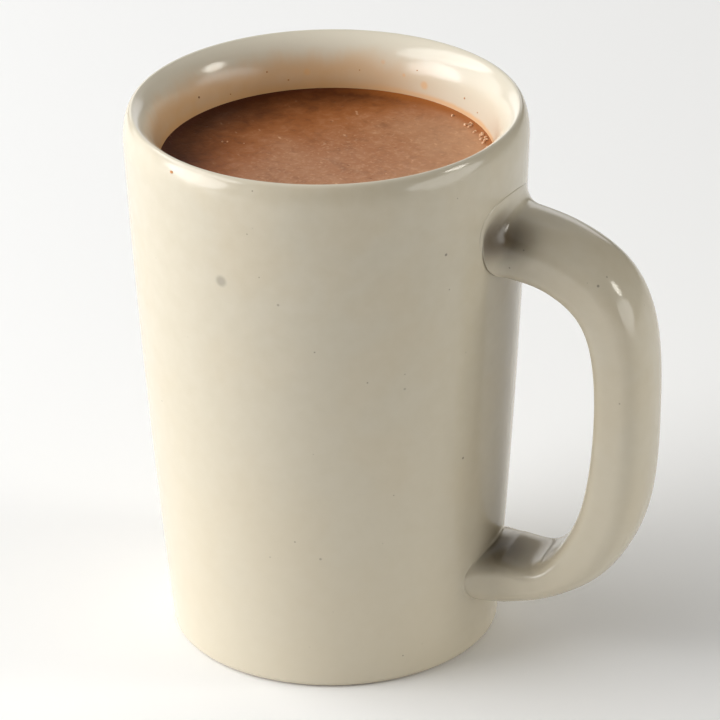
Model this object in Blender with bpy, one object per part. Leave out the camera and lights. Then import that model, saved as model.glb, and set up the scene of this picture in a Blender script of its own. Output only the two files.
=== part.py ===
"""Champurrado in a stoneware mug.

The mug is one piece of ceramic: a thick turned body, a little wider at the lip than at the foot,
with a strap handle pulled out of the wall and flowing back into it.  The drink fills it to a finger's
width below the lip.  Metres, +Z up; the foot stands on z = 0 with its centre at the origin, and the
handle lies along +X.
"""
import bisect
import math

import bmesh
import bpy
from mathutils import Vector

MM = 0.001

# ---- driving sizes -------------------------------------------------------------------------------
MUG_HEIGHT = 120.0 * MM          # foot to the crest of the lip
LIP_RADIUS = 0.3556 * MUG_HEIGHT     # widest, just under the lip
FOOT_RADIUS = 0.2944 * MUG_HEIGHT    # where the foot's rounding starts
BELLY = 0.0056 * MUG_HEIGHT          # outward bow of the wall at mid height
FOOT_ROUND = 0.0146 * MUG_HEIGHT     # rounding of the foot's edge
CREST_RADIUS = 0.3380 * MUG_HEIGHT   # highest line of the lip
LIP_DROP = 0.0544 * MUG_HEIGHT       # height of the lip's outer rounding
DRINK_LEVEL = 0.9024 * MUG_HEIGHT
DRINK_RADIUS = 0.2926 * MUG_HEIGHT   # inner wall at the drink's level
CUP_FLOOR = 0.075 * MUG_HEIGHT       # thickness of the bottom
INNER_TAPER = 0.050                  # inner wall's lean, radius per height
INNER_CORNER = 0.075 * MUG_HEIGHT    # rounding between wall and floor inside
CLEARANCE = 0.3 * MM                 # drink to ceramic

# handle: centre line as (reach from the axis, height, half thickness), top root first
HANDLE_LINE = [(reach * MUG_HEIGHT, height * MUG_HEIGHT, half * MUG_HEIGHT)
               for reach, height, half in ((0.3458, 0.8037, 0.0559), (0.4358, 0.7831, 0.0528),
                                           (0.5141, 0.7326, 0.0540), (0.5516, 0.6539, 0.0511),
                                           (0.5613, 0.5076, 0.0489), (0.5425, 0.3213, 0.0518),
                                           (0.4937, 0.2160, 0.0477), (0.4164, 0.1542, 0.0347),
                                           (0.3365, 0.1444, 0.0500))]
HANDLE_HALF_WIDTH = 0.080 * MUG_HEIGHT
HANDLE_SQUARENESS = 2.4, 4.5          # of its outer and its inner face: 2 is an ellipse, more is flatter
BEND_SPREAD = (-0.03, -0.015, 0.0, 0.015, 0.03)   # shares of the centre line over which a bend is evened
ROOT_STANDOFF = 0.020 * MUG_HEIGHT   # where the root has become plain handle
ROOT_SPREAD = math.radians(20.3)     # half angle of wall that a root covers
ROOT_SQUARENESS = 2.3, 2.1           # of a root's edge on the handle's outer and inner side
# each root's edge on the wall: lowest and highest line, its rise towards -Y in half heights, and how far
# its widest line belongs to the strap's outer edge
UPPER_ROOT = (0.746 * MUG_HEIGHT, 0.892 * MUG_HEIGHT, 0.30, 0.25)
LOWER_ROOT = (0.096 * MUG_HEIGHT, 0.203 * MUG_HEIGHT, 0.10, 0.0)

SEGMENTS = 72                        # round the axis
ROOT_CELLS_ROUND = 10                # segments of wall replaced by each root
ROOT_CELLS_UP = 6
ROOT_MARGIN = 0.020 * MUG_HEIGHT     # plain wall left round a root's fillet inside that patch
ROOT_HALF_ANGLE = math.pi * ROOT_CELLS_ROUND / SEGMENTS
FILLET_RINGS = 6
HANDLE_RINGS = 34


def outer_radius(z):
    """Radius of the outside wall at height z, between the foot's and the lip's roundings."""
    t = (z - FOOT_ROUND) / (MUG_HEIGHT - LIP_DROP - FOOT_ROUND)
    return FOOT_RADIUS + (LIP_RADIUS - FOOT_RADIUS) * t + BELLY * 4.0 * t * (1.0 - t)


def inner_radius(z):
    """Radius of the inside wall at height z, from the floor's corner up to the drink's level."""
    return DRINK_RADIUS - (DRINK_LEVEL - z) * INNER_TAPER


def steps(low, high, count):
    return [low + (high - low) * k / count for k in range(count + 1)]


def patch(root):
    """Height range of the wall patch that a root is set into."""
    return root[0] - ROOT_MARGIN, root[1] + ROOT_MARGIN


def mug_profile():
    """Half section of the body, from the centre of the foot round the lip to the centre of the floor."""
    points = [(0.0, 0.0), (0.5 * FOOT_RADIUS, 0.0)]
    for k in range(5):
        a = 0.5 * math.pi * k / 4
        points.append((FOOT_RADIUS - FOOT_ROUND * (1.0 - math.sin(a)), FOOT_ROUND * (1.0 - math.cos(a))))
    low, high = patch(LOWER_ROOT), patch(UPPER_ROOT)
    heights = (steps(FOOT_ROUND, low[0], 3)[1:] + steps(*low, ROOT_CELLS_UP)[1:]
               + steps(low[1], high[0], 7)[1:] + steps(*high, ROOT_CELLS_UP)[1:]
               + steps(high[1], MUG_HEIGHT - LIP_DROP, 2)[1:])
    points += [(outer_radius(z), z) for z in heights]
    for k in range(1, 7):
        a = 0.5 * math.pi * k / 6
        points.append((CREST_RADIUS + (LIP_RADIUS - CREST_RADIUS) * math.cos(a),
                       MUG_HEIGHT - LIP_DROP * (1.0 - math.sin(a))))
    # inside of the lip: a curve from the crest, level there, to the wall at the drink's edge
    start, end = Vector((CREST_RADIUS, MUG_HEIGHT)), Vector((DRINK_RADIUS, DRINK_LEVEL))
    bend = Vector((DRINK_RADIUS + 0.7 * MM, MUG_HEIGHT - 2.6 * MM))
    for k in range(1, 9):
        t = k / 8
        p = start * (1 - t) ** 2 + bend * 2 * t * (1 - t) + end * t * t
        points.append((p.x, p.y))
    low = CUP_FLOOR + INNER_CORNER
    points += [(inner_radius(z), z) for z in steps(DRINK_LEVEL, low, 9)[1:]]
    for k in range(1, 6):
        a = 0.5 * math.pi * k / 5
        points.append((inner_radius(low) - INNER_CORNER * (1.0 - math.cos(a)),
                       low - INNER_CORNER * math.sin(a)))
    points += [(0.45 * (inner_radius(low) - INNER_CORNER), CUP_FLOOR), (0.0, CUP_FLOOR)]
    return points


def drink_profile():
    """Half section of the drink, a clearance inside the mug's floor and wall."""
    low = CUP_FLOOR + INNER_CORNER
    gap = CLEARANCE
    points = [(0.0, CUP_FLOOR + gap), (0.5 * (inner_radius(low) - INNER_CORNER), CUP_FLOOR + gap)]
    for k in range(6):
        a = 0.5 * math.pi * k / 5
        points.append((inner_radius(low) - INNER_CORNER + (INNER_CORNER - gap) * math.sin(a),
                       low - (INNER_CORNER - gap) * math.cos(a)))
    points += [(inner_radius(z) - gap, z) for z in steps(low, DRINK_LEVEL, 6)[1:]]
    points += [(0.66 * DRINK_RADIUS, DRINK_LEVEL), (0.33 * DRINK_RADIUS, DRINK_LEVEL), (0.0, DRINK_LEVEL)]
    return points


def spin_profile(bm, points):
    """Turn a half section once round the Z axis."""
    verts = [bm.verts.new((r, 0.0, z)) for r, z in points]
    edges = [bm.edges.new(pair) for pair in zip(verts, verts[1:])]
    bmesh.ops.spin(bm, geom=verts + edges, cent=(0, 0, 0), axis=(0, 0, 1), angle=2.0 * math.pi,
                   steps=SEGMENTS, use_merge=True, use_duplicate=False)
    bmesh.ops.remove_doubles(bm, verts=bm.verts[:], dist=0.01 * MM)


def handle_point(path, s):
    """Centre line and half thickness at s from 0 to 1: a curve through the named points."""
    arc = [0.0]
    for a, b in zip(path, path[1:]):
        arc.append(arc[-1] + math.hypot(b[0] - a[0], b[1] - a[1]))
    target = s * arc[-1]
    k = min(max(bisect.bisect_right(arc, target) - 1, 0), len(path) - 2)
    t = (target - arc[k]) / (arc[k + 1] - arc[k])

    def slope(i, axis):
        lo, hi = max(i - 1, 0), min(i + 1, len(path) - 1)
        return (path[hi][axis] - path[lo][axis]) / (arc[hi] - arc[lo])

    span = arc[k + 1] - arc[k]
    weights = (2 * t ** 3 - 3 * t ** 2 + 1, t ** 3 - 2 * t ** 2 + t, -2 * t ** 3 + 3 * t ** 2, t ** 3 - t ** 2)
    return [weights[0] * path[k][i] + weights[1] * span * slope(k, i) + weights[2] * path[k + 1][i]
            + weights[3] * span * slope(k + 1, i) for i in range(3)]


def rounded(across, out, squareness):
    """Point of a superellipse, each side at 1, in the direction of (across, out)."""
    a, power = math.atan2(out, across), 2.0 / squareness[out < 0]
    return (math.copysign(abs(math.cos(a)) ** power, math.cos(a)),
            math.copysign(abs(math.sin(a)) ** power, math.sin(a)))


def patch_cells():
    """(across, out) from -1 to 1 of each corner round the patch of wall that a root replaces."""
    n, m = ROOT_CELLS_ROUND, ROOT_CELLS_UP
    cells = [(-1.0 + 2.0 * k / n, -1.0) for k in range(n)]
    cells += [(1.0, -1.0 + 2.0 * k / m) for k in range(m)]
    cells += [(1.0 - 2.0 * k / n, 1.0) for k in range(n)]
    cells += [(-1.0, 1.0 - 2.0 * k / m) for k in range(m)]
    return cells


def wall_point(angle, z):
    r = outer_radius(z)
    return Vector((r * math.cos(angle), r * math.sin(angle), z))


def bend_point(s):
    """The centre line averaged over a short stretch, so that it bends evenly."""
    points = [handle_point(HANDLE_LINE, min(max(s + step, 0.0), 1.0)) for step in BEND_SPREAD]
    return [sum(p[i] for p in points) / len(points) for i in range(3)]


def handle_section(s):
    """One ring of the handle at s, and the direction the handle runs in there."""
    x, z, half = bend_point(s)
    ahead, behind = bend_point(s + 0.005), bend_point(s - 0.005)
    along = Vector((ahead[0] - behind[0], 0.0, ahead[1] - behind[1])).normalized()
    out = Vector((-along.z, 0.0, along.x))
    ring = []
    for across, outward in patch_cells():
        side, rise = rounded(across, outward, HANDLE_SQUARENESS)
        ring.append(Vector((x, side * HANDLE_HALF_WIDTH, z)) + out * (rise * half))
    return ring, along


def root_rings(root, flip, s, direction):
    """Rings that carry the wall over into the handle: the patch's edge, then the root's edge on the
    wall, then curves that drop along the wall, narrow and land along the handle."""
    low, high = patch(root)
    lowest, highest, lean, drop = root
    middle, reach = 0.5 * (lowest + highest), 0.5 * (highest - lowest)
    section, along = handle_section(s)
    rings = [[] for _ in range(FILLET_RINGS + 1)]
    for (across, outward), landing in zip(patch_cells(), section):
        rings[0].append(wall_point(across * ROOT_HALF_ANGLE,
                                   0.5 * (low + high) + flip * outward * 0.5 * (high - low)))
        side, rise = rounded(across, outward - drop * (1.0 - outward ** 2), ROOT_SQUARENESS)
        angle = side * ROOT_SPREAD
        start = wall_point(angle, middle + (flip * rise - lean * side) * reach)
        way = landing - start
        leave = (Vector((math.cos(angle), math.sin(angle), 0.0)) * (0.15 * way.length)
                 + Vector((0.0, 0.0, 3.0 * way.z)))
        land = along * (direction * way.length)
        for k in range(FILLET_RINGS):
            t = k / FILLET_RINGS
            h = (2 * t ** 3 - 3 * t ** 2 + 1, t ** 3 - 2 * t ** 2 + t, -2 * t ** 3 + 3 * t ** 2, t ** 3 - t ** 2)
            rings[k + 1].append(start * h[0] + leave * h[1] + landing * h[2] + land * h[3])
    return rings


def root_station(first):
    """Where along the centre line the handle is ROOT_STANDOFF clear of the wall."""
    order = range(0, 501) if first else range(500, -1, -1)
    for k in order:
        x, z, _ = handle_point(HANDLE_LINE, k / 500)
        if x - outer_radius(z) >= ROOT_STANDOFF:
            return k / 500
    raise ValueError("the handle never leaves the wall")


def add_handle(bm):
    """Open the wall under both roots and join the handle to it."""
    def in_patch(face):
        c = face.calc_center_median()
        on_wall = math.hypot(c.x, c.y) > 0.95 * outer_radius(c.z)
        return (on_wall and abs(math.atan2(c.y, c.x)) < ROOT_HALF_ANGLE
                and any(lo < c.z < hi for lo, hi in (patch(UPPER_ROOT), patch(LOWER_ROOT))))

    bmesh.ops.delete(bm, geom=[f for f in bm.faces if in_patch(f)], context='FACES')
    first, last = root_station(True), root_station(False)
    rings = root_rings(UPPER_ROOT, 1.0, first, 1.0)
    rings += [handle_section(s)[0] for s in steps(first, last, HANDLE_RINGS)]
    rings += reversed(root_rings(LOWER_ROOT, -1.0, last, -1.0))
    loops = [[bm.verts.new(p) for p in ring] for ring in rings]
    for near, far in zip(loops, loops[1:]):
        for k in range(len(near)):
            j = (k + 1) % len(near)
            bm.faces.new((near[k], near[j], far[j], far[k]))
    bmesh.ops.remove_doubles(bm, verts=bm.verts[:], dist=0.01 * MM)


def material(name, color, roughness, coat=0.0):
    mat = bpy.data.materials.new(name)
    mat.use_nodes = True
    shader = mat.node_tree.nodes["Principled BSDF"]
    shader.inputs["Base Color"].default_value = (*color, 1.0)
    shader.inputs["Roughness"].default_value = roughness
    shader.inputs["Metallic"].default_value = 0.0
    shader.inputs["Coat Weight"].default_value = coat
    return mat


def finish(name, bm, mat):
    """Make the object: normals out, smooth except at real edges."""
    bmesh.ops.recalc_face_normals(bm, faces=bm.faces[:])
    mesh = bpy.data.meshes.new(name)
    bm.to_mesh(mesh)
    bm.free()
    mesh.materials.append(mat)
    mesh.shade_smooth()
    mesh.set_sharp_from_angle(angle=math.radians(50))
    obj = bpy.data.objects.new(name, mesh)
    bpy.context.scene.collection.objects.link(obj)
    return obj


def main():
    for obj in list(bpy.data.objects):
        bpy.data.objects.remove(obj, do_unlink=True)

    bm = bmesh.new()
    spin_profile(bm, mug_profile())
    add_handle(bm)
    finish("mug", bm, material("mug_glaze", (0.66, 0.60, 0.47), 0.18, coat=0.3))

    bm = bmesh.new()
    spin_profile(bm, drink_profile())
    finish("champurrado", bm, material("champurrado", (0.30, 0.145, 0.075), 0.28))


if __name__ == "__main__":
    main()
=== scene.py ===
"""Champurrado in a stoneware mug: finished surfaces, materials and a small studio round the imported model.

Every piece is a surface worked out with numpy from the sizes in the property groups below, in metres,
with the mug's foot on z = 0, its axis on Z and its handle along +X.
"""
import math

import bmesh
import bpy
import numpy as np
from bpy.props import FloatProperty, FloatVectorProperty, IntProperty, PointerProperty
from bpy.types import Operator, Panel, PropertyGroup
from mathutils import Matrix, Vector


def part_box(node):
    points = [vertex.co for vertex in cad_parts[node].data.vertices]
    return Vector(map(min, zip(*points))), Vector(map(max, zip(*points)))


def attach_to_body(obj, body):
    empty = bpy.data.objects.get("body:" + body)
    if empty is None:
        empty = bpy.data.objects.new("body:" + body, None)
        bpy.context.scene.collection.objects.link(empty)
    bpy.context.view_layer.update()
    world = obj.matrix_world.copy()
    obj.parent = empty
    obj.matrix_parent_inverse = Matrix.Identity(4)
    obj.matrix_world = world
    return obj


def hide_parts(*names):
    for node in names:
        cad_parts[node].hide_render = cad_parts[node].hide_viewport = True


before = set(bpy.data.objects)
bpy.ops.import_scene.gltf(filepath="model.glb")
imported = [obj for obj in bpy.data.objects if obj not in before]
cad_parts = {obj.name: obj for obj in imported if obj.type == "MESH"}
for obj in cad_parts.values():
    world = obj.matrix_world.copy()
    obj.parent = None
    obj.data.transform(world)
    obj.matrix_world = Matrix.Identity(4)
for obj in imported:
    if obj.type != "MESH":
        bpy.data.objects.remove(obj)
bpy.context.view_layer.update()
MUG_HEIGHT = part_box("mug")[1].z

bl_info = {
    "name": "Champurrado in a mug",
    "version": (1, 0, 0),
    "blender": (4, 5, 0),
    "location": "3D View > Sidebar > Champurrado",
    "description": "Builds a stoneware mug filled with thick chocolate drink",
    "category": "Add Mesh",
}

# handle: centre line as (reach from the axis, height, half thickness) in mug heights, top root first
HANDLE_LINE = np.array([(0.3458, 0.8037, 0.0559), (0.4358, 0.7831, 0.0528), (0.5141, 0.7326, 0.0540),
                        (0.5516, 0.6539, 0.0511), (0.5613, 0.5076, 0.0489), (0.5425, 0.3213, 0.0518),
                        (0.4937, 0.2160, 0.0477), (0.4164, 0.1542, 0.0347), (0.3365, 0.1444, 0.0500)])


def share(value):
    """A size given as a share of the mug's height."""
    return value * MUG_HEIGHT


# ---- settings --------------------------------------------------------------------------------------
class ChampurradoMug(PropertyGroup):
    lip_radius: FloatProperty(name="Lip radius", description="Widest radius, just under the lip",
                              default=share(0.3556), unit='LENGTH')
    foot_radius: FloatProperty(name="Foot radius", description="Radius where the foot's rounding starts",
                               default=share(0.2944), unit='LENGTH')
    belly: FloatProperty(name="Belly", description="Outward bow of the wall at mid height",
                         default=share(0.0056), unit='LENGTH')
    foot_round: FloatProperty(name="Foot rounding", description="Radius of the foot's rounded edge",
                              default=share(0.0146), unit='LENGTH')
    crest_radius: FloatProperty(name="Crest radius", description="Radius of the lip's highest line",
                                default=share(0.3380), unit='LENGTH')
    lip_drop: FloatProperty(name="Lip drop", description="Height of the lip's outer rounding",
                            default=share(0.0544), unit='LENGTH')
    floor: FloatProperty(name="Floor", description="Thickness of the mug's bottom",
                         default=share(0.075), unit='LENGTH')
    taper: FloatProperty(name="Inner taper", description="Lean of the inner wall, radius per height",
                         default=0.05)
    inner_corner: FloatProperty(name="Inner corner", description="Rounding between inner wall and floor",
                                default=share(0.075), unit='LENGTH')
    handle_width: FloatProperty(name="Handle half width", description="Half the strap's width",
                                default=share(0.080), unit='LENGTH')
    outer_squareness: FloatProperty(name="Outer squareness", default=2.4,
                                    description="Handle's outer face: 2 is an ellipse, more is flatter")
    inner_squareness: FloatProperty(name="Inner squareness", default=4.5,
                                    description="Handle's inner face: 2 is an ellipse, more is flatter")
    standoff: FloatProperty(name="Root stand-off", description="Distance from the wall where a root ends",
                            default=share(0.020), unit='LENGTH')
    root_spread: FloatProperty(name="Root spread", description="Half angle of wall that a root covers",
                               default=math.radians(20.3), subtype='ANGLE')
    segments: IntProperty(name="Segments", description="Faces round the axis", default=288)
    glaze: FloatVectorProperty(name="Glaze", description="Main colour of the glaze", subtype='COLOR',
                               default=(0.53, 0.475, 0.365))
    glaze_warm: FloatVectorProperty(name="Warm glaze", description="Colour of the glaze's warmer clouds",
                                    subtype='COLOR', default=(0.53, 0.463, 0.342))
    # painted light: the glaze is paler near the foot, where the floor's bounce light falls
    glaze_foot_light: FloatVectorProperty(name="Pooled glaze", description="Thicker, paler glaze near the foot",
                                      subtype='COLOR', default=(0.67, 0.60, 0.465))
    # painted light: the glaze inside is paler, standing in for the light on the inner wall
    glaze_inside_light: FloatVectorProperty(name="Glaze inside", description="Paler glaze inside the mug",
                                      subtype='COLOR', default=(0.74, 0.685, 0.565))
    # painted shade: a dark colour for the corners of the handle's roots, where shade falls
    shade: FloatVectorProperty(name="Root shade", description="Glaze in the corners of the handle's roots",
                               subtype='COLOR', default=(0.115, 0.086, 0.052))
    iron: FloatVectorProperty(name="Iron", description="Colour of the specks in the glaze", subtype='COLOR',
                              default=(0.16, 0.14, 0.12))
    film: FloatVectorProperty(name="Film", description="Thin film of drink on the inner wall",
                              subtype='COLOR', default=(0.76, 0.485, 0.25))
    film_thick: FloatVectorProperty(name="Thick film", description="Film just above the drink",
                                    subtype='COLOR', default=(0.85, 0.46, 0.17))
    splash: FloatVectorProperty(name="Splash", description="Orange specks of dried drink", subtype='COLOR',
                                default=(0.52, 0.22, 0.06))
    clay: FloatVectorProperty(name="Clay", description="Bare clay under the foot", subtype='COLOR',
                              default=(0.55, 0.47, 0.37))


class ChampurradoDrink(PropertyGroup):
    level: FloatProperty(name="Level", description="Height of the drink's surface",
                         default=share(0.9024), unit='LENGTH')
    radius: FloatProperty(name="Radius", description="Inner radius of the mug at the drink's level",
                          default=share(0.2926), unit='LENGTH')
    bite: FloatProperty(name="Bite", description="How far the drink reaches into the wall",
                        default=0.0004, unit='LENGTH')
    meniscus: FloatProperty(name="Meniscus", description="How far the drink climbs at the wall",
                            default=0.0007, unit='LENGTH')
    chocolate: FloatVectorProperty(name="Chocolate", description="Main colour of the drink",
                                   subtype='COLOR', default=(0.35, 0.108, 0.023))
    milky: FloatVectorProperty(name="Milky wisp", description="Colour of the paler wisps",
                               subtype='COLOR', default=(0.50, 0.250, 0.130))
    cocoa: FloatVectorProperty(name="Cocoa", description="Colour of the darker pits",
                               subtype='COLOR', default=(0.17, 0.050, 0.013))
    pale: FloatVectorProperty(name="Fleck", description="Colour of the pale flecks",
                              subtype='COLOR', default=(0.72, 0.43, 0.25))
    # painted shadow: the rim's shadow on the drink along one wall
    painted_rim_shadow: FloatVectorProperty(name="Deep", description="Clear dark drink along one wall", subtype='COLOR',
                              default=(0.050, 0.0075, 0.0005))
    thin: FloatVectorProperty(name="Thin edge", description="Colour of the drink where it thins at the wall",
                              subtype='COLOR', default=(0.34, 0.105, 0.020))
    bubble: FloatVectorProperty(name="Bubble", description="Colour of the bubbles' skin", subtype='COLOR',
                                default=(0.82, 0.52, 0.32))
    froth_count: IntProperty(name="Bubbles", description="How many bubbles", default=28)
    froth_size: FloatProperty(name="Bubble radius", description="Radius of the largest bubbles",
                              default=0.00046, unit='LENGTH')
    froth_seed: IntProperty(name="Bubble seed", description="Changes where the bubbles lie", default=4)


class ChampurradoStage(PropertyGroup):
    distance: FloatProperty(name="Camera distance", description="From the mug's axis, level",
                            default=share(8.6190), unit='LENGTH')
    height: FloatProperty(name="Camera height", description="Above the table",
                          default=share(4.7413), unit='LENGTH')
    turn: FloatProperty(name="Camera turn", description="Angle round the mug towards the handle",
                        default=math.radians(22.09), subtype='ANGLE')
    pitch: FloatProperty(name="Pitch", description="How far the camera looks down", default=0.4570,
                         subtype='ANGLE')
    yaw: FloatProperty(name="Yaw", description="Small turn to the right", default=0.0054, subtype='ANGLE')
    roll: FloatProperty(name="Roll", description="Tilt about the line of sight", default=-0.0200,
                        subtype='ANGLE')
    lens: FloatProperty(name="Lens", description="Focal length in millimetres on a 36 mm sensor",
                        default=269.58)
    table: FloatVectorProperty(name="Table", description="Colour of the floor", subtype='COLOR',
                               default=(0.90, 0.90, 0.90))


# ---- shader arithmetic -----------------------------------------------------------------------------
class Wire:
    """A socket of a material; arithmetic on it adds Math nodes."""

    def __init__(self, graph, socket):
        self.graph, self.socket = graph, socket

    def __add__(self, other):
        return self.graph.math('ADD', self, other)

    def __sub__(self, other):
        return self.graph.math('SUBTRACT', self, other)

    def __rsub__(self, other):
        return self.graph.math('SUBTRACT', other, self)

    def __mul__(self, other):
        return self.graph.math('MULTIPLY', self, other)

    def __truediv__(self, other):
        return self.graph.math('DIVIDE', self, other)

    def __pow__(self, other):
        return self.graph.math('POWER', self, other)

    __radd__, __rmul__ = __add__, __mul__


class Graph:
    """A material under construction."""

    def __init__(self, name):
        self.material = bpy.data.materials.new(name)
        self.material.use_nodes = True
        self.tree = self.material.node_tree
        self.shader = self.tree.nodes["Principled BSDF"]
        self.column = 0

    def node(self, kind, settings=None, values=(), out=0):
        """Any node: its settings are set first, then its sockets by position or by name."""
        node = self.tree.nodes.new(kind)
        self.column += 1
        node.location = (-220 * (self.column % 12) - 300, 160 * (self.column // 12))
        for key, value in (settings or {}).items():
            setattr(node, key, value)
        pairs = values.items() if isinstance(values, dict) else enumerate(values)
        for key, value in pairs:
            self.feed(node.inputs[key], value)
        return Wire(self, node.outputs[out])

    def feed(self, socket, value):
        """Link a wire to a socket, or set the socket's value."""
        if isinstance(value, Wire):
            self.tree.links.new(value.socket, socket)
        else:
            if socket.type == 'RGBA' and len(value) == 3:
                value = (*value, 1.0)
            socket.default_value = value

    def math(self, operation, *values):
        return self.node("ShaderNodeMath", {"operation": operation}, values)

    def vector(self, operation, *values, out=0):
        return self.node("ShaderNodeVectorMath", {"operation": operation}, values, out)

    def mix(self, factor, a, b):
        """Colour a where factor is 0 and b where it is 1."""
        return self.node("ShaderNodeMix", {"data_type": 'RGBA', "clamp_factor": True},
                         {0: factor, 6: a, 7: b}, out=2)

    def step(self, value, low, high):
        """0 below low, 1 above high, smooth between; low may be the larger one."""
        return self.node("ShaderNodeMapRange", {"interpolation_type": 'SMOOTHSTEP'},
                         {0: value, 1: low, 2: high, 3: 0.0, 4: 1.0})

    def place(self):
        """The point on the piece, in metres."""
        return self.node("ShaderNodeTexCoord", out="Object")

    def scaled(self, place, factors):
        return self.vector('MULTIPLY', place, factors)

    def parts(self, place):
        """The point's x, y and z."""
        split = self.node("ShaderNodeSeparateXYZ", None, [place])
        return [Wire(self, socket) for socket in split.socket.node.outputs]

    def noise(self, place, scale, detail=2.0, roughness=0.5, distortion=0.0):
        return self.node("ShaderNodeTexNoise", None,
                         {"Vector": place, "Scale": scale, "Detail": detail, "Roughness": roughness,
                          "Distortion": distortion})

    def cells(self, place, scale, out="Distance"):
        """Scattered cells: the distance to the nearest one's centre, or its own random colour."""
        return self.node("ShaderNodeTexVoronoi", None, {"Vector": place, "Scale": scale}, out)

    def bump(self, height, distance, strength):
        return self.node("ShaderNodeBump", None,
                         {"Strength": strength, "Distance": distance, "Height": height})

    def finish(self, **sockets):
        """Set or link the shader's own sockets by name, with _ for a space."""
        for key, value in sockets.items():
            self.feed(self.shader.inputs[key.replace("_", " ")], value)
        return self.material


# ---- surfaces --------------------------------------------------------------------------------------
def outer_radius(size, z):
    """Straight line from foot to lip, plus a parabola that bows it out by belly at mid height."""
    t = (z - size.foot_round) / (MUG_HEIGHT - size.lip_drop - size.foot_round)
    return size.foot_radius + (size.lip_radius - size.foot_radius) * t + size.belly * 4 * t * (1 - t)


def inner_radius(size, drink, z):
    """Straight line that leans in below the drink's level by taper for each unit of height."""
    return drink.radius - (drink.level - z) * size.taper


# rows of faces along the mug's outline, from the foot's centre up the outside and down to the floor's centre
UNDER_ROWS, CORNER_ROWS, LOW_ROWS, MIDDLE_ROWS, HIGH_ROWS, LIP_ROWS = 7, 9, 6, 48, 4, 18
CREST_ROWS, INSIDE_ROWS, FLOOR_ROWS = 26, 24, 7
LIP_BEND = (0.0007, 0.0026)                  # where the inner lip would bend: off the wall, below the crest

ROOTS = ((0.746, 0.892), (0.096, 0.203))     # lowest and highest line of each root, in mug heights
ROOT_MARGIN = 0.020                          # plain wall round a root inside its patch
PATCH_SEGMENTS, PATCH_ROWS = 40, 24          # faces of wall that a root's patch takes out
PATCH_FLAT_RINGS, RIM_RINGS, FILLET_RINGS, HANDLE_RINGS = 6, 7, 18, 150
ROOT_INNER, ROOT_OUTER = 2.1, 2.3            # squareness of a root's edge on the handle's inner, outer side
ROOT_LEAN = (0.30, 0.10)                     # rise of each root's edge towards -Y, in half heights
ROOT_DROP = (0.25, 0.0)                      # how far below a root's middle the strap's side line starts
ROOT_LEAVE = (0.15, 3.0)                     # pull on a fillet where it starts, outwards and along the wall
RIM_HEIGHT, RIM_ROUND = 0.0002, 0.0008       # step and rounding where a root's edge stands on the wall
RIM_FADE = 0.4                               # the rim fades in over this much either side of the middle
SMALLER = 0.97                               # a root's edge at this scale shows which way is inwards
BEND_SPREAD = np.linspace(-0.03, 0.03, 9)    # stretch of the handle's line that each section averages
BEND_STEP = 0.004                            # share of the line over which its direction is taken
STATIONS = 2001                              # places tried along the line for a root's end


def stretch(start, end, rows):
    """Even steps from start, which is left out, to end."""
    return np.linspace(start, end, rows + 1)[1:]


def patch_range(root):
    """Lowest and highest line of the wall that a root's patch takes out."""
    return share(root[0] - ROOT_MARGIN), share(root[1] + ROOT_MARGIN)


def body_profile(size, drink):
    """(radius, height) rows from the foot's centre, up the outside, over the lip, down the inside to the
    floor's centre: straight and bowed stretches, quarter ellipses at foot, lip and inner corner, and a
    parabola inside the lip.  Also returns the first row of each root's patch."""
    (high_lo, high_hi), (low_lo, low_hi) = patch_range(ROOTS[0]), patch_range(ROOTS[1])
    quarter = np.linspace(0, math.pi / 2, CORNER_ROWS + 1)
    under = np.linspace(0, size.foot_radius - size.foot_round, UNDER_ROWS + 1)
    foot = np.stack([size.foot_radius - size.foot_round * (1 - np.sin(quarter)),
                     size.foot_round * (1 - np.cos(quarter))], 1)
    z = np.concatenate([stretch(size.foot_round, low_lo, LOW_ROWS), stretch(low_lo, low_hi, PATCH_ROWS),
                        stretch(low_hi, high_lo, MIDDLE_ROWS), stretch(high_lo, high_hi, PATCH_ROWS),
                        stretch(high_hi, MUG_HEIGHT - size.lip_drop, HIGH_ROWS)])
    wall = np.stack([outer_radius(size, z), z], 1)
    a = stretch(0, math.pi / 2, LIP_ROWS)
    lip = np.stack([size.crest_radius + (size.lip_radius - size.crest_radius) * np.cos(a),
                    MUG_HEIGHT - size.lip_drop * (1 - np.sin(a))], 1)
    t = stretch(0, 1, CREST_ROWS)[:, None]
    start, end = np.array([size.crest_radius, MUG_HEIGHT]), np.array([drink.radius, drink.level])
    bend = np.array([drink.radius + LIP_BEND[0], MUG_HEIGHT - LIP_BEND[1]])
    inside_lip = start * (1 - t) ** 2 + bend * 2 * t * (1 - t) + end * t ** 2
    low = size.floor + size.inner_corner
    z = stretch(drink.level, low, INSIDE_ROWS)
    inside = np.stack([inner_radius(size, drink, z), z], 1)
    base = inner_radius(size, drink, low) - size.inner_corner
    a = quarter[1:]
    corner = np.stack([base + size.inner_corner * np.cos(a), low - size.inner_corner * np.sin(a)], 1)
    r = stretch(base, 0, FLOOR_ROWS)
    floor = np.stack([r, np.full_like(r, size.floor)], 1)
    rows = np.concatenate([np.stack([under, np.zeros_like(under)], 1)[:-1], foot, wall, lip, inside_lip,
                           inside, corner, floor])
    first = UNDER_ROWS + CORNER_ROWS + LOW_ROWS
    return rows, (first + PATCH_ROWS + MIDDLE_ROWS, first)


def grid_faces(rows, columns):
    """Quads of a grid of rows by columns vertices, whose last column joins the first."""
    i, j = np.meshgrid(np.arange(rows - 1), np.arange(columns), indexing='ij')
    k = (j + 1) % columns
    return np.stack([i * columns + j, i * columns + k, (i + 1) * columns + k, (i + 1) * columns + j], -1)


def revolve(profile, segments):
    """Each profile point (r, z) at angle a becomes (r cos a, r sin a, z)."""
    a = np.arange(segments) * 2 * math.pi / segments
    r, z = profile[:, :1], profile[:, 1:]
    return np.stack([r * np.cos(a), r * np.sin(a), z + 0 * a], -1)


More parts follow.
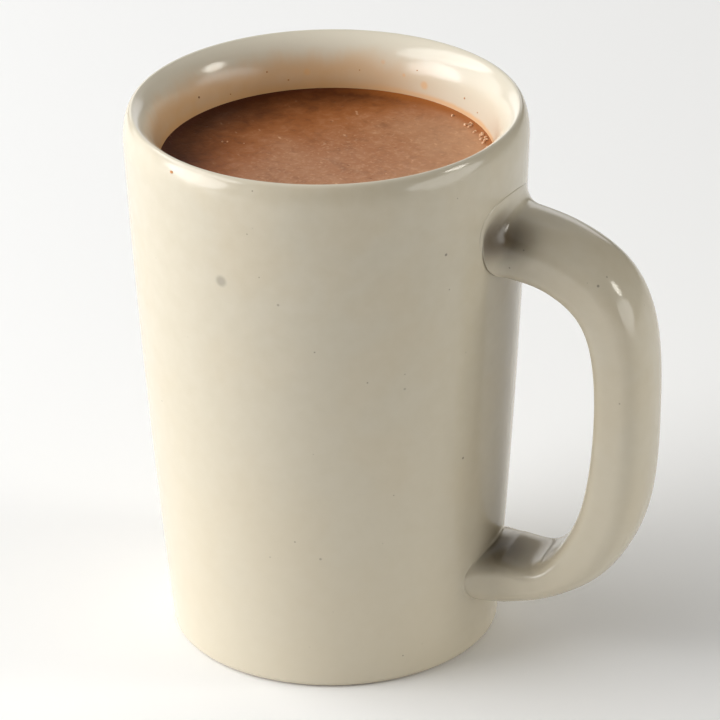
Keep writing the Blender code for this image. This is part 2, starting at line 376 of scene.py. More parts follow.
def curve_through(points, s):
    """Cubic pieces through the points, by length; the slope at a point is that of the line between its
    neighbours.  s runs from 0 to 1."""
    arc = np.concatenate([[0], np.cumsum(np.linalg.norm(np.diff(points[:, :2], axis=0), axis=1))])
    index = np.arange(len(points))
    before, after = np.maximum(index - 1, 0), np.minimum(index + 1, len(points) - 1)
    slope = (points[after] - points[before]) / (arc[after] - arc[before])[:, None]
    target = np.asarray(s) * arc[-1]
    k = np.clip(np.searchsorted(arc, target, side='right') - 1, 0, len(points) - 2)
    span = (arc[k + 1] - arc[k])[:, None]
    t = (target - arc[k])[:, None] / span
    return ((2 * t ** 3 - 3 * t ** 2 + 1) * points[k] + (t ** 3 - 2 * t ** 2 + t) * span * slope[k]
            + (3 * t ** 2 - 2 * t ** 3) * points[k + 1] + (t ** 3 - t ** 2) * span * slope[k + 1])


def patch_cells():
    """(across, out) from -1 to 1 of the corners round a patch, in order."""
    n, m = PATCH_SEGMENTS, PATCH_ROWS
    a, b = np.arange(n) * 2 / n - 1, np.arange(m) * 2 / m - 1
    return np.concatenate([np.stack([a, -np.ones(n)], 1), np.stack([np.ones(m), b], 1),
                           np.stack([-a, np.ones(n)], 1), np.stack([-np.ones(m), -b], 1)])


def rounded(cells, inner, outer):
    """A superellipse of half sides 1 with its own squareness on the handle's inner and outer face: |cos a|
    and |sin a| raised to 2/squareness, signs kept."""
    a = np.arctan2(cells[:, 1], cells[:, 0])
    c, s = np.cos(a), np.sin(a)
    power = 2 / np.where(cells[:, 1] < 0, inner, outer)
    return np.sign(c) * np.abs(c) ** power, np.sign(s) * np.abs(s) ** power


def handle_sections(size, s):
    """Superellipse sections square to the centre line, which is averaged over a short stretch so that it
    bends evenly, and the direction it runs in."""
    line = HANDLE_LINE * MUG_HEIGHT
    places = [s + step for step in BEND_SPREAD]
    centre = np.mean([curve_through(line, np.clip(place, 0, 1)) for place in places], axis=0)
    along = np.mean([curve_through(line, np.clip(place + BEND_STEP, 0, 1))
                     - curve_through(line, np.clip(place - BEND_STEP, 0, 1)) for place in places], axis=0)
    along = along[:, :2] / np.linalg.norm(along[:, :2], axis=1, keepdims=True)
    side, rise = rounded(patch_cells(), size.inner_squareness, size.outer_squareness)
    lift = centre[:, 2:] * rise
    x = centre[:, :1] - along[:, 1:] * lift
    z = centre[:, 1:2] + along[:, :1] * lift
    y = np.broadcast_to(side * size.handle_width, x.shape)
    return np.stack([x, y, z], -1), np.stack([along[:, 0], 0 * along[:, 0], along[:, 1]], -1)


def wall_points(size, angle, z):
    """Points of the outer wall: (r cos angle, r sin angle, z), with r the wall's radius at z."""
    r = outer_radius(size, z)
    return np.stack([r * np.cos(angle), r * np.sin(angle), z], -1)


def smooth(value, low, high):
    """0 below low, 1 above high, smooth between."""
    t = np.clip((value - low) / (high - low), 0, 1)
    return t * t * (3 - 2 * t)


def root_rings(size, root, lean, drop, flip, s, direction):
    """Rings from the patch's edge over flat wall to the root's edge, a low rim that rises square to the wall
    on the outer side, then cubic curves that drop along the wall, narrow and land along the handle."""
    low, high = patch_range(root)
    cells = patch_cells()
    spread = math.pi * PATCH_SEGMENTS / size.segments
    section, along = handle_sections(size, np.array([s]))
    edge = cells - np.stack([0 * cells[:, 0], drop * (1 - cells[:, 1] ** 2)], 1)
    side, rise = rounded(edge, ROOT_INNER, ROOT_OUTER)
    middle, reach = share(sum(root) / 2), share((root[1] - root[0]) / 2)
    edge_angle, edge_z = cells[:, 0] * spread, (low + high) / 2 + flip * cells[:, 1] * (high - low) / 2
    angle, z = side * size.root_spread, middle + (flip * rise - lean * side) * reach
    t = 1 - (1 - np.linspace(0, 1, PATCH_FLAT_RINGS + 1)[:-1, None]) ** 2
    flat = wall_points(size, edge_angle + (angle - edge_angle) * t, edge_z + (z - edge_z) * t)
    start, landing = wall_points(size, angle, z), section[0]
    inward = wall_points(size, angle * SMALLER, middle + (z - middle) * SMALLER) - start
    inward /= np.linalg.norm(inward, axis=1, keepdims=True)
    outward = np.stack([np.cos(angle), np.sin(angle), 0 * angle], -1)
    pad = smooth(cells[:, 1:], -RIM_FADE, RIM_FADE)
    a = np.linspace(0, math.pi / 2, RIM_RINGS)[:-1, None, None]
    rim = start + pad * (outward * RIM_HEIGHT * np.sin(a) + inward * RIM_ROUND * (1 - np.cos(a)))
    start = start + pad * (outward * RIM_HEIGHT + inward * RIM_ROUND)
    way = landing - start
    span = np.linalg.norm(way, axis=1, keepdims=True)
    leave = outward * ROOT_LEAVE[0] * span + way * (0, 0, ROOT_LEAVE[1])
    t = np.linspace(0, 1, FILLET_RINGS + 1)[:-1, None, None]
    fillet = ((2 * t ** 3 - 3 * t ** 2 + 1) * start + (t ** 3 - 2 * t ** 2 + t) * leave
              + (3 * t ** 2 - 2 * t ** 3) * landing + (t ** 3 - t ** 2) * along * direction * span)
    return np.concatenate([flat, rim, fillet])


def root_station(size, backwards):
    """Share of the centre line where it is standoff clear of the wall, from the top or from the bottom."""
    s = np.linspace(0, 1, STATIONS)
    line = curve_through(HANDLE_LINE * MUG_HEIGHT, s)
    clear = s[line[:, 0] - outer_radius(size, line[:, 1]) >= size.standoff]
    return clear[-1] if backwards else clear[0]


def handle_rings(size):
    """Rings of the whole handle: the upper root, the strap's sections and the lower root reversed."""
    first, last = root_station(size, False), root_station(size, True)
    upper = root_rings(size, ROOTS[0], ROOT_LEAN[0], ROOT_DROP[0], 1, first, 1)
    lower = root_rings(size, ROOTS[1], ROOT_LEAN[1], ROOT_DROP[1], -1, last, -1)
    middle, _ = handle_sections(size, np.linspace(first, last, HANDLE_RINGS))
    return np.concatenate([upper, middle, lower[::-1]])


def merged(name, grids, faces, dist=1e-6):
    """One mesh object from vertex arrays and their quads: vertices closer than dist merged, faces out,
    shaded smooth."""
    offset, verts, quads = 0, [], []
    for grid, face in zip(grids, faces):
        flat = grid.reshape(-1, 3)
        verts.append(flat)
        quads.append(face.reshape(-1, 4) + offset)
        offset += len(flat)
    verts, quads = np.concatenate(verts), np.concatenate(quads)
    mesh = bpy.data.meshes.new(name)
    mesh.vertices.add(len(verts))
    mesh.vertices.foreach_set("co", verts.astype(np.float32).ravel())
    mesh.loops.add(quads.size)
    mesh.loops.foreach_set("vertex_index", quads.astype(np.int32).ravel())
    mesh.polygons.add(len(quads))
    mesh.polygons.foreach_set("loop_start", np.arange(0, quads.size, 4, dtype=np.int32))
    mesh.update(calc_edges=True)
    bm = bmesh.new()
    bm.from_mesh(mesh)
    bmesh.ops.remove_doubles(bm, verts=bm.verts[:], dist=dist)
    bmesh.ops.recalc_face_normals(bm, faces=bm.faces[:])
    bm.to_mesh(mesh)
    bm.free()
    mesh.shade_smooth()
    mesh.validate()
    obj = bpy.data.objects.new(name, mesh)
    bpy.context.scene.collection.objects.link(obj)
    return obj


def attach(obj, material):
    """Give a finished piece its one material and put it on the body."""
    obj.data.materials.clear()
    obj.data.materials.append(material)
    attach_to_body(obj, "root")


# ---- the mug ---------------------------------------------------------------------------------------
# iron spots in the glaze: centre in millimetres, radius in millimetres, strength
GLAZE_SPOTS = (((-7.18, -41.28, 96.5), 1.7, 0.42), ((35.2, -23.0, 101.0), 0.45, 0.8),
               ((35.9, -15.8, 50.8), 0.4, 0.7), ((5.4, -41.4, 93.1), 0.4, 0.45),
               ((11.4, -36.1, 32.6), 0.4, 0.45), ((28.2, -29.2, 72.0), 0.4, 0.4),
               ((63.1, -8.3, 91.7), 0.40, 0.7), ((64.2, -6.0, 92.9), 0.28, 0.6))

# soft stains of drink on the inner wall: centre and radius in millimetres, strength
STAINS = (((8.84, 34.42, 111.58), 1.3, 0.50), ((-16.96, 31.40, 112.31), 1.0, 0.35),
          ((-1.3, 36.41, 114.83), 0.8, 0.30), ((3.81, 35.61, 112.84), 0.6, 0.45),
          ((15.5, 33.2, 113.6), 0.7, 0.22))

# painted shade in the corners of the handle's roots: centre and reach in metres, strength
SHADE_POCKETS = (((0.0425, -0.0115, 0.1004), (0.0070, 0.0085, 0.0052), 1.0),
           ((0.0400, -0.0030, 0.0235), (0.0055, 0.0080, 0.0030), 0.75))

# lengths in metres; a pair is a fade, from its first value to its second
CLOUD_SCALE, FINE_SCALE, RIPPLE_SCALE, SPECK_SCALE, RAG_SCALE = 42, 310, 95, 240, 130   # features per metre
SPECK_SIZE, SPECK_CELLS, SPECK_STRENGTH = (0.065, 0.02), (0.62, 0.66), 0.6    # in cells; which cells have one
FOOT_LIGHT_TOP, FOOT_LIGHT_STRENGTH = 0.110, 0.55        # painted light from the floor: the glaze gets paler from here down to the foot
SEAM_CLEAR = (0.00010, 0.00045)              # off the wall, where the roots' painted shade fades in
WALL_CLEAR = (0.0010, 0.0020)                # into the wall, where the paler inside's painted light fades in
CREST_FADE = (0.0012, -0.0008)               # about the crest's radius, where it does so over the lip
FILM_RADIUS = (0.0398, 0.0392)               # the film is inside this radius
FILM_START = (-0.004, -0.002)                # about the drink's level, below which nothing is stained
FILM_TOP, FILM_RAG = (0.1182, 0.1125), 0.006             # height of the tide line, and how far it wanders
FILM_SIDE, FILM_LEAST = 0.030, 0.12          # the film thickens towards one side over this width, from this
NEAR_BAND, NEAR_STRENGTH = (0.0030, 0.0004), 0.45        # thick film just above the drink, on that side
LINE_BAND, LINE_STRENGTH = (0.0019, 0.0010), 0.60        # and a thin line of it on the other side
BARE_TOP = (0.0006, 0.0002)                  # height of the bare clay under the foot
RIPPLE_DEPTH, RIPPLE_STRENGTH = 0.00012, 0.35


def with_specks(g, place, color, mug):
    """The colour with one small dot of iron in a few of the cells, and the larger named spots."""
    dots = (g.step(g.cells(place, SPECK_SCALE), *SPECK_SIZE)
            * g.step(g.cells(place, SPECK_SCALE, "Color"), *SPECK_CELLS))
    color = g.mix(dots * SPECK_STRENGTH, color, mug.iron)
    for centre, size, strength in GLAZE_SPOTS:
        away = g.vector('DISTANCE', place, tuple(0.001 * v for v in centre), out="Value")
        color = g.mix(g.step(away, 0.001 * size, 0.00035 * size) * strength, color, mug.iron)
    return color


def root_shade(g, place, clearance):
    """Painted shade: 1 in the corners of the roots and 0 elsewhere, only on the handle's side of the seams.
    """
    clear = g.step(clearance, *SEAM_CLEAR)
    shade = 0.0
    for centre, reach, strength in SHADE_POCKETS:
        away = g.vector('LENGTH', g.vector('DIVIDE', g.vector('SUBTRACT', place, centre), reach), out="Value")
        shade = shade + g.step(away, 1.6, 0.2) * strength * clear
    return shade


def with_film(g, place, color, fine, mug, drink):
    """The colour under a film of drink on the inner wall, which ends at an uneven tide line and has stains
    and a thicker band above the drink; also how much film there is."""
    x, y, z = g.parts(place)
    radius = (x * x + y * y) ** 0.5
    inside = (g.step(radius, *FILM_RADIUS)
              * g.step(z, *(drink.level + offset for offset in FILM_START)))
    rag = g.noise(g.scaled(place, (1, 1, 0.35)), RAG_SCALE, 3.0, 0.6)
    side = g.step(y * 0.5 - x * 0.866, 0.0, FILM_SIDE)
    film = inside * g.step(z + (rag - 0.5) * FILM_RAG, *FILM_TOP) * (FILM_LEAST + (1 - FILM_LEAST) * side)
    color = g.mix(film * (0.62 + 0.5 * rag), color, mug.film)
    for centre, size, strength in STAINS:
        away = g.vector('DISTANCE', place, tuple(0.001 * v for v in centre), out="Value")
        ragged = away + (fine - 0.5) * 0.0012
        color = g.mix(g.step(ragged, 0.001 * size, 0.0003 * size) * strength, color, mug.film_thick)
    near = inside * g.step(z, *(drink.level + offset for offset in NEAR_BAND))
    color = g.mix(near * side * NEAR_STRENGTH, color, mug.film_thick)
    line = inside * g.step(z + (fine - 0.5) * 0.0006, *(drink.level + offset for offset in LINE_BAND))
    return g.mix(line * (1 - side) * LINE_STRENGTH, color, mug.film_thick), film


def glaze_material(mug, drink):
    """Greige glaze: cloudy colour, a few iron specks, painted shade in the roots' corners, painted light that
    makes it paler near the foot and inside, a faint ripple, and the drink's film inside."""
    g = Graph("mug_glaze")
    place = g.place()
    x, y, z = g.parts(place)
    radius = (x * x + y * y) ** 0.5
    clearance = radius - outer_radius(mug, z)
    clouds = g.noise(place, CLOUD_SCALE, 3.0, 0.55)
    fine = g.noise(place, FINE_SCALE, 2.0, 0.5)
    color = g.mix(g.step(clouds, 0.40, 0.62), mug.glaze, mug.glaze_warm)
    color = g.mix(0.10 * fine, color, (1.0, 0.98, 0.94))
    # painted light: paler near the foot
    color = g.mix(g.step(z, FOOT_LIGHT_TOP, 0.0) * FOOT_LIGHT_STRENGTH, color, mug.glaze_foot_light)
    color = with_specks(g, place, color, mug)
    # painted shade in the corners of the roots
    shade = root_shade(g, place, clearance)
    color = g.mix(shade, color, mug.shade)
    # painted light: paler glaze inside the mug
    lit_inside = (g.step(radius, *(mug.crest_radius + offset for offset in CREST_FADE))
              * g.step(0 - clearance, *WALL_CLEAR))
    color = g.mix(lit_inside * g.step(z, mug.floor, drink.level), color, mug.glaze_inside_light)
    color, film = with_film(g, place, color, fine, mug, drink)
    bare = g.step(z, *BARE_TOP)
    color = g.mix(bare, color, mug.clay)
    height = g.noise(place, RIPPLE_SCALE, 1.5, 0.4) * 0.8 + fine * 0.12
    roughness = 0.12 + 0.05 * clouds + 0.6 * bare + 0.10 * film + 0.09 * shade
    return g.finish(Base_Color=color, Roughness=roughness,
                    Normal=g.bump(height, RIPPLE_DEPTH, RIPPLE_STRENGTH), IOR=1.5)


class CHAMPURRADO_OT_mug(Operator):
    """Mug: turned body with its pulled strap handle, one closed surface"""
    bl_idname = "champurrado.mug"
    bl_label = "Build mug"

    def execute(self, context):
        mug, drink = context.scene.champurrado_mug, context.scene.champurrado_drink
        profile, patch_rows = body_profile(mug, drink)
        body = revolve(profile, mug.segments)
        faces = grid_faces(len(profile), mug.segments)
        keep = np.ones(faces.shape[:2], bool)
        half = PATCH_SEGMENTS // 2
        columns = np.r_[0:half, mug.segments - half:mug.segments]
        for row in patch_rows:
            keep[row:row + PATCH_ROWS, columns] = False
        rings = handle_rings(mug)
        # wide enough to weld each patch's edge to the wall
        piece = merged("mug_body", [body, rings],
                       [faces[keep], grid_faces(len(rings), rings.shape[1])], 4e-6)
        attach(piece, glaze_material(mug, drink))
        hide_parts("mug")
        return {'FINISHED'}


# ---- the drink -------------------------------------------------------------------------------------
SWIRL_START, SWIRL_TWIST, SWIRL_STRETCH = 0.5, 9.0, (0.55, 1.25, 1)    # radians, radians per metre, scale
WISP_SCALE, CLOUD_PATCH_SCALE, MOTTLE_SCALE, GRAIN_SCALE = 150, 45, 420, 1100      # features per metre
FLECK_SCALE, PIT_SCALE = 420, 330
RIM_SHADOW_ALONG = (0.94, 0.34)                      # from the painted shadow of the rim to the painted light on the milky side, as x and -y
SKIN_LIGHT_BAND, RIM_SHADOW_BAND = (0.012, 0.034), (0.022, -0.001)         # widths of drink where the skin's painted light and the painted rim shadow fade
THIN_BAND = (-0.0026, -0.0004)                     # about the drink's radius, where it thins at the wall
SURFACE_DEPTH, SURFACE_STRENGTH = 0.00020, 0.45


def drink_material(drink):
    """Thick chocolate: brown and mottled with paler milky skin, fine wisps, dark pits and pale flecks; a
    painted shadow of the rim near one wall, painted light that makes it milkier and paler towards the other,
    orange where it thins."""
    g = Graph("champurrado")
    place = g.place()
    x, y, _ = g.parts(place)
    radius = (x * x + y * y) ** 0.5
    # width of drink between the point and the wall behind it
    c, s = RIM_SHADOW_ALONG
    along, across = c * x - s * y, s * x + c * y
    span = along + (drink.radius ** 2 - across * across) ** 0.5
    swirl = g.scaled(g.node("ShaderNodeVectorRotate", {"rotation_type": 'Z_AXIS'},
                            {"Vector": place, "Angle": SWIRL_START + SWIRL_TWIST * radius}), SWIRL_STRETCH)
    wisps = g.noise(swirl, WISP_SCALE, 5.0, 0.62, 0.8)
    clouds = g.noise(place, CLOUD_PATCH_SCALE, 3.0, 0.55)
    mottle = g.noise(place, MOTTLE_SCALE, 3.0, 0.6, 0.4)
    grain = g.noise(place, GRAIN_SCALE, 3.0, 0.6)
    flecks = g.step(g.cells(swirl, FLECK_SCALE), 0.20, 0.05)
    pits = g.step(g.cells(place, PIT_SCALE), 0.16, 0.04) * g.step(grain, 0.44, 0.56)

    # milky skin in patches, wisps and mottling; it grows with distance from the wall as painted light
    skin = g.step(span + (clouds - 0.5) * 0.020, *SKIN_LIGHT_BAND)
    color = g.mix(skin * (0.30 + 0.35 * g.step(clouds, 0.38, 0.66)), drink.chocolate, drink.milky)
    color = g.mix(skin * g.step(wisps, 0.50, 0.72) * 0.55, color, drink.milky)
    color = g.mix(g.step(mottle, 0.50, 0.70) * (0.15 + 0.50 * skin), color, drink.milky)

    # darker cocoa between them
    color = g.mix(g.step(mottle, 0.48, 0.28) * 0.30, color, drink.cocoa)
    color = g.mix(g.step(wisps, 0.45, 0.28) * 0.28, color, drink.cocoa)

    # pale grain, paler towards the handle as painted light, then flecks and pits
    color = g.mix(g.step(grain, 0.52, 0.70) * skin * 0.30, color, drink.pale)
    color = g.mix(g.step(x, 0.000, 0.036) * 0.40, color, drink.pale)
    color = g.mix(flecks * g.step(wisps, 0.46, 0.58) * 0.7, color, drink.pale)
    color = g.mix(pits * 0.5, color, drink.cocoa)

    # painted shadow of the rim as a dark crescent on one side, the thin edge on the other
    painted_rim_shadow = g.step(span + (mottle - 0.5) * 0.008 + (clouds - 0.5) * 0.012, *RIM_SHADOW_BAND)
    color = g.mix(painted_rim_shadow * g.step(x, 0.014, -0.008) * 0.95, color, drink.painted_rim_shadow)
    edge = g.step(radius + (mottle - 0.5) * 0.0020, *(drink.radius + offset for offset in THIN_BAND))
    color = g.mix(edge * g.step(x, -0.016, 0.004) * 0.85, color, drink.thin)
    height = grain * 0.45 + mottle * 0.9 + wisps * 1.2 - pits * 0.8 + flecks * 0.25
    return g.finish(Base_Color=color, Roughness=0.36 + 0.10 * wisps,
                    Normal=g.bump(height, SURFACE_DEPTH, SURFACE_STRENGTH), IOR=1.25)


MENISCUS_WIDTH, MENISCUS_SINK = 0.0009, 0.0003     # distance over which the climb fades, drop of the rest
EDGE_BAND = 0.006                                  # width of the finer rings along the wall
EDGE_RINGS, MIDDLE_RINGS, WALL_RINGS, BEND_RINGS, BOTTOM_RINGS = 25, 49, 19, 8, 5


def drink_height(drink, inset):
    """Height of the surface: the level, less a small drop, plus a climb that fades as the exponential of
    the distance from the wall."""
    return drink.level - MENISCUS_SINK + drink.meniscus * np.exp(-inset / MENISCUS_WIDTH)


class CHAMPURRADO_OT_drink(Operator):
    """Drink: a closed body up to its level, with a meniscus at the wall"""
    bl_idname = "champurrado.drink"
    bl_label = "Build drink"

    def execute(self, context):
        mug, drink = context.scene.champurrado_mug, context.scene.champurrado_drink
        low = mug.floor + mug.inner_corner
        base = inner_radius(mug, drink, low) - mug.inner_corner
        a = np.linspace(0, math.pi / 2, BEND_RINGS + 1)
        under = np.linspace(0, base, BOTTOM_RINGS + 1)[:-1]
        bottom = np.stack([under, np.full_like(under, mug.floor - drink.bite)], 1)
        bend = mug.inner_corner + drink.bite
        corner = np.stack([base + bend * np.sin(a), low - bend * np.cos(a)], 1)
        z = stretch(low, drink.level, WALL_RINGS)
        wall = np.stack([inner_radius(mug, drink, z) + drink.bite, z], 1)
        rim = drink.radius + drink.bite
        r = np.concatenate([rim - stretch(0, EDGE_BAND, EDGE_RINGS),
                            stretch(rim - EDGE_BAND, 0, MIDDLE_RINGS)])
        top = np.stack([r, drink_height(drink, (drink.radius - r).clip(0))], 1)
        profile = np.concatenate([bottom, corner, wall, top])
        rings = revolve(profile, mug.segments)
        piece = merged("champurrado_drink", [rings], [grid_faces(len(profile), mug.segments)])
        attach(piece, drink_material(drink))
        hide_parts("champurrado")
        return {'FINISHED'}


# ---- bubbles and splashes --------------------------------------------------------------------------
GATHERED = 0.8                                     # share of the bubbles that gather at the edge
FROTH_TURN = math.radians(40)                      # where they gather, from +X round the axis
FROTH_SPREAD = math.radians(9)                     # how far they scatter round that place
GATHERED_INSET = (0.0006, 0.0009)                  # their least distance from the wall, and its scatter
STRAY_INSET = (0.002, 0.030)                       # the strays' least and greatest distance
BUBBLE_SIZES = (0.45, 1.0)                         # smallest and largest bubble, of the bubble radius
STRAY_SIZE = 0.5                                   # strays are smaller by this
BUBBLE_LIFT = 0.1                                  # height of a bubble's centre over the drink, in radii

# raised specks of drink on the mug: centre in millimetres, half width and half height in millimetres, and
# tone, 0 for dark and 1 for orange
SPLASHES = (((-33.79, 11.42, 112.22), 0.22, 0.26, 0), ((19.88, 29.61, 112.21), 0.26, 0.22, 1),
            ((-19.04, -37.61, 117.76), 0.50, 0.30, 1), ((-24.6, 26.9, 113.4), 0.18, 0.20, 1),
            ((-30.2, 19.4, 110.2), 0.16, 0.16, 1), ((6.9, 35.9, 114.2), 0.20, 0.14, 1),
            ((-6.4, 35.9, 112.4), 0.16, 0.14, 1), ((24.4, 26.2, 110.6), 0.20, 0.16, 1),
            ((-20.6, 29.4, 110.9), 0.22, 0.16, 1))
SPLASH_RISE = 0.45                                 # a speck's half thickness, of its smaller half side


def ellipsoids(centres, frames, radii, rows=9, columns=12):
    """Closed ellipsoids: the unit sphere's grid (sin u cos v, sin u sin v, cos u), scaled along the three
    directions of each frame and moved to each centre.  Also their quads."""
    u = np.linspace(0, math.pi, rows)[:, None]
    v = np.arange(columns) * 2 * math.pi / columns
    ball = np.stack([np.sin(u) * np.cos(v), np.sin(u) * np.sin(v), np.cos(u) + 0 * v], -1)
    grids = centres[:, None, None] + np.einsum('ijk,nk,nkl->nijl', ball, radii, frames)
    return list(grids), [grid_faces(rows, columns)] * len(grids)


def on_profile(profile, centres):
    """Each centre moved to the nearest row of the profile in its own half plane, and a frame there: round
    the axis, along the profile, and out of the surface."""
    radius, angle = np.hypot(centres[:, 0], centres[:, 1]), np.arctan2(centres[:, 1], centres[:, 0])
    spot = np.stack([radius, centres[:, 2]], -1)
    nearest = ((profile[None] - spot[:, None]) ** 2).sum(-1).argmin(1)
    slope = profile[nearest + 1] - profile[nearest - 1]
    slope /= np.linalg.norm(slope, axis=1, keepdims=True)
    c, s, zero = np.cos(angle), np.sin(angle), 0 * angle
    row = profile[nearest]
    point = np.stack([row[:, 0] * c, row[:, 0] * s, row[:, 1]], -1)
    around = np.stack([-s, c, zero], -1)
    along = np.stack([slope[:, 0] * c, slope[:, 0] * s, slope[:, 1]], -1)
    return point, np.stack([around, along, np.cross(around, along)], 1)


def wet_material(name, color, drink, roughness):
    """Thin wet drink: one colour, cloudy towards the drink's own, glossy."""
    g = Graph(name)
    cloud = g.noise(g.place(), 900, 2.0, 0.5)
    return g.finish(Base_Color=g.mix(g.step(cloud, 0.35, 0.65) * 0.5, color, drink.chocolate),
                    Roughness=roughness, IOR=1.40)


class CHAMPURRADO_OT_froth(Operator):
    """Froth: small bubbles gathered at the drink's edge and a few strays"""
    bl_idname = "champurrado.froth"
    bl_label = "Build bubbles"

    def execute(self, context):
        drink = context.scene.champurrado_drink
        dice = np.random.default_rng(drink.froth_seed)
        count = drink.froth_count
        stray = np.arange(count) >= GATHERED * count
        angle = np.where(stray, dice.uniform(0, 2 * math.pi, count),
                         FROTH_TURN + FROTH_SPREAD * dice.standard_normal(count))
        inset = np.where(stray, dice.uniform(*STRAY_INSET, count),
                         GATHERED_INSET[0] + GATHERED_INSET[1] * np.abs(dice.standard_normal(count)))
        radius = drink.froth_size * dice.uniform(*BUBBLE_SIZES, count) * np.where(stray, STRAY_SIZE, 1.0)
        reach = drink.radius - inset
        height = drink_height(drink, inset) + BUBBLE_LIFT * radius
        centres = np.stack([reach * np.cos(angle), reach * np.sin(angle), height], -1)
        frames = np.broadcast_to(np.eye(3), (count, 3, 3))
        piece = merged("drink_bubbles", *ellipsoids(centres, frames, radius[:, None] * np.array([1, 1, 0.9])))
        attach(piece, wet_material("bubble_skin", drink.bubble, drink, 0.08))
        return {'FINISHED'}


class CHAMPURRADO_OT_splashes(Operator):
    """Splashes: dried specks of drink on the inner wall and one crumb on the lip"""
    bl_idname = "champurrado.splashes"
    bl_label = "Build splashes"

    def execute(self, context):
        mug, drink = context.scene.champurrado_mug, context.scene.champurrado_drink
        profile, _ = body_profile(mug, drink)
        centres = np.array([splash[0] for splash in SPLASHES]) * 0.001
        half = np.array([splash[1:3] for splash in SPLASHES]) * 0.001
        point, frames = on_profile(profile, centres)
        radii = np.concatenate([half, half.min(1, keepdims=True) * SPLASH_RISE], 1)
        tone = np.array([splash[3] for splash in SPLASHES])
        for value, name, color in ((0, "splash_dark", drink.cocoa), (1, "splash_orange", mug.splash)):
            pick = tone == value
            piece = merged(name, *ellipsoids(point[pick], frames[pick], radii[pick]))
            attach(piece, wet_material(name, color, drink, 0.35))
        return {'FINISHED'}


# ---- the stage -------------------------------------------------------------------------------------
# soft boxes seen from the mug: degrees to the right of straight away from the camera, degrees above the
# floor, width and height in metres, watts, colour
SOFT_BOXES = (("key", -86, 41, 1.6, 0.5, 9.3, (1, 1, 0.98)),
              ("left", -103, 12, 0.9, 0.7, 8.9, (1, 1, 1)),
              ("low_left", -112, 15, 1.8, 1.0, 1.9, (1, 1, 1)),
              ("far_left", -75, 12, 1.6, 1.0, 5.5, (1, 1, 1)),
              ("low_right", 112, 8, 1.1, 0.5, 4.0, (1, 1, 0.97)),
              ("right", 100, 28, 0.3, 0.3, 2.5, (1, 0.97, 0.88)),
              ("sweep", 0, 30, 1.4, 1.4, 1.5, (1, 1, 1)),
              ("low_sweep", 0, 14, 1.4, 0.5, 2.1, (1, 1, 1)),
              ("ceiling", 0, 88, 2.6, 2.6, 4.8, (1, 1, 1)))
LIGHT_DISTANCE, LIGHT_AIM = 1.2, share(0.6)        # metres from the mug, and the height the boxes face
FLOOR_HALF = 6.0                                   # half the floor's side in metres
FLOOR_GLOW, FLOOR_GLOW_COLOR, WORLD_GLOW = 0.02, (1.0, 0.95, 0.86), 0.02


def area_light(name, turn, azimuth, elevation, width, height, power, color):
    """A soft box that faces the mug."""
    light = bpy.data.lights.new(name, 'AREA')
    light.shape, light.size, light.size_y = 'ELLIPSE', width, height
    light.energy, light.color = power, color
    obj = bpy.data.objects.new(name, light)
    azimuth, elevation = math.radians(azimuth), math.radians(elevation)
    level = math.cos(elevation)
    way = Matrix.Rotation(turn, 3, 'Z') @ Vector((level * math.sin(azimuth), level * math.cos(azimuth),
                                                  math.sin(elevation)))
    obj.matrix_world = (Matrix.Translation(Vector((0, 0, LIGHT_AIM)) + way * LIGHT_DISTANCE)
                        @ way.to_track_quat('Z', 'Y').to_matrix().to_4x4())
    bpy.context.scene.collection.objects.link(obj)


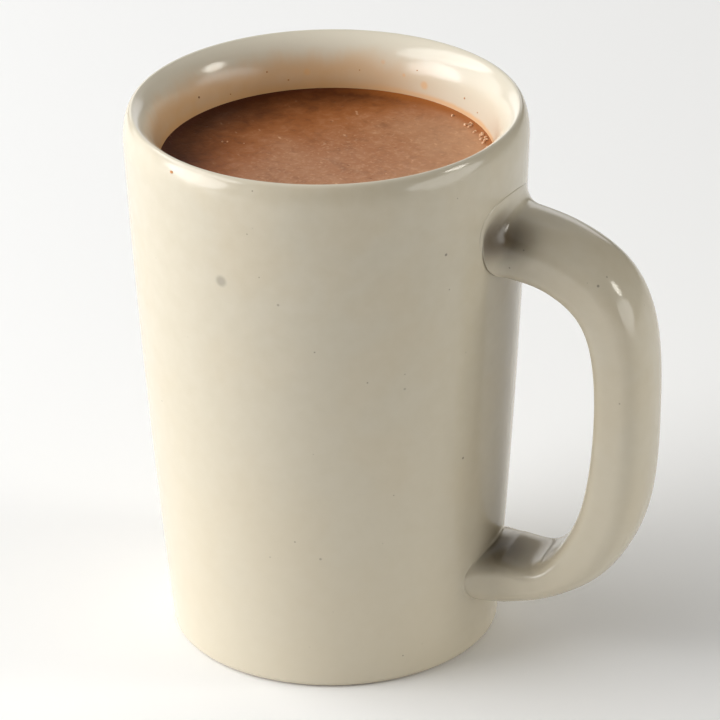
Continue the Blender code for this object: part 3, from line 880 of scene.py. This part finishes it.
class CHAMPURRADO_OT_stage(Operator):
    """Stage: pale floor, soft lights and the camera"""
    bl_idname = "champurrado.stage"
    bl_label = "Build stage"

    def execute(self, context):
        scene, stage = context.scene, context.scene.champurrado_stage
        mesh = bpy.data.meshes.new("floor")
        corners = [(-1, -1, 0), (1, -1, 0), (1, 1, 0), (-1, 1, 0)]
        mesh.from_pydata((np.array(corners) * FLOOR_HALF).tolist(), [], [(0, 1, 2, 3)])
        floor = bpy.data.objects.new("floor", mesh)
        scene.collection.objects.link(floor)
        mesh.materials.append(Graph("floor").finish(
            Base_Color=tuple(stage.table), Roughness=0.9,
            Emission_Color=FLOOR_GLOW_COLOR, Emission_Strength=FLOOR_GLOW))

        world = scene.world or bpy.data.worlds.new("world")
        scene.world = world
        world.use_nodes = True
        background = world.node_tree.nodes["Background"]
        background.inputs["Color"].default_value = (1, 1, 1, 1)
        background.inputs["Strength"].default_value = WORLD_GLOW
        for name, *box in SOFT_BOXES:
            area_light(name, stage.turn, *box)

        camera = bpy.data.objects.new("camera", bpy.data.cameras.new("camera"))
        camera.data.lens, camera.data.sensor_width = stage.lens, 36.0
        camera.data.clip_start = 0.05
        stand = Vector((0.0, -stage.distance, stage.height))
        camera.matrix_world = (Matrix.Rotation(stage.turn, 4, 'Z') @ Matrix.Translation(stand)
                               @ Matrix.Rotation(math.pi / 2 - stage.pitch, 4, 'X')
                               @ Matrix.Rotation(-stage.yaw, 4, 'Y') @ Matrix.Rotation(stage.roll, 4, 'Z'))
        scene.collection.objects.link(camera)
        scene.camera = camera
        scene.view_settings.view_transform = 'Standard'
        return {'FINISHED'}


# ---- add-on ----------------------------------------------------------------------------------------
class CHAMPURRADO_PT_panel(Panel):
    """Champurrado's settings and builders"""
    bl_idname = "CHAMPURRADO_PT_panel"
    bl_label = "Champurrado"
    bl_space_type = 'VIEW_3D'
    bl_region_type = 'UI'
    bl_category = "Champurrado"

    def draw(self, context):
        for operator, group in STEPS:
            box = self.layout.box()
            settings = getattr(context.scene, group)
            for name in settings.__annotations__:
                box.prop(settings, name)
            box.operator(operator.bl_idname)


STEPS = ((CHAMPURRADO_OT_mug, "champurrado_mug"), (CHAMPURRADO_OT_drink, "champurrado_drink"),
         (CHAMPURRADO_OT_froth, "champurrado_drink"), (CHAMPURRADO_OT_splashes, "champurrado_mug"),
         (CHAMPURRADO_OT_stage, "champurrado_stage"))
GROUPS = {"champurrado_mug": ChampurradoMug, "champurrado_drink": ChampurradoDrink,
          "champurrado_stage": ChampurradoStage}


def register():
    for cls in (*GROUPS.values(), *(operator for operator, _ in STEPS), CHAMPURRADO_PT_panel):
        bpy.utils.register_class(cls)
    for name, group in GROUPS.items():
        setattr(bpy.types.Scene, name, PointerProperty(type=group))


def unregister():
    for name in GROUPS:
        delattr(bpy.types.Scene, name)
    for cls in (CHAMPURRADO_PT_panel, *(operator for operator, _ in STEPS), *GROUPS.values()):
        bpy.utils.unregister_class(cls)


def main():
    """Build everything in order."""
    register()
    bpy.ops.champurrado.mug()
    bpy.ops.champurrado.drink()
    bpy.ops.champurrado.froth()
    bpy.ops.champurrado.splashes()
    bpy.ops.champurrado.stage()


if __name__ == "__main__":
    main()
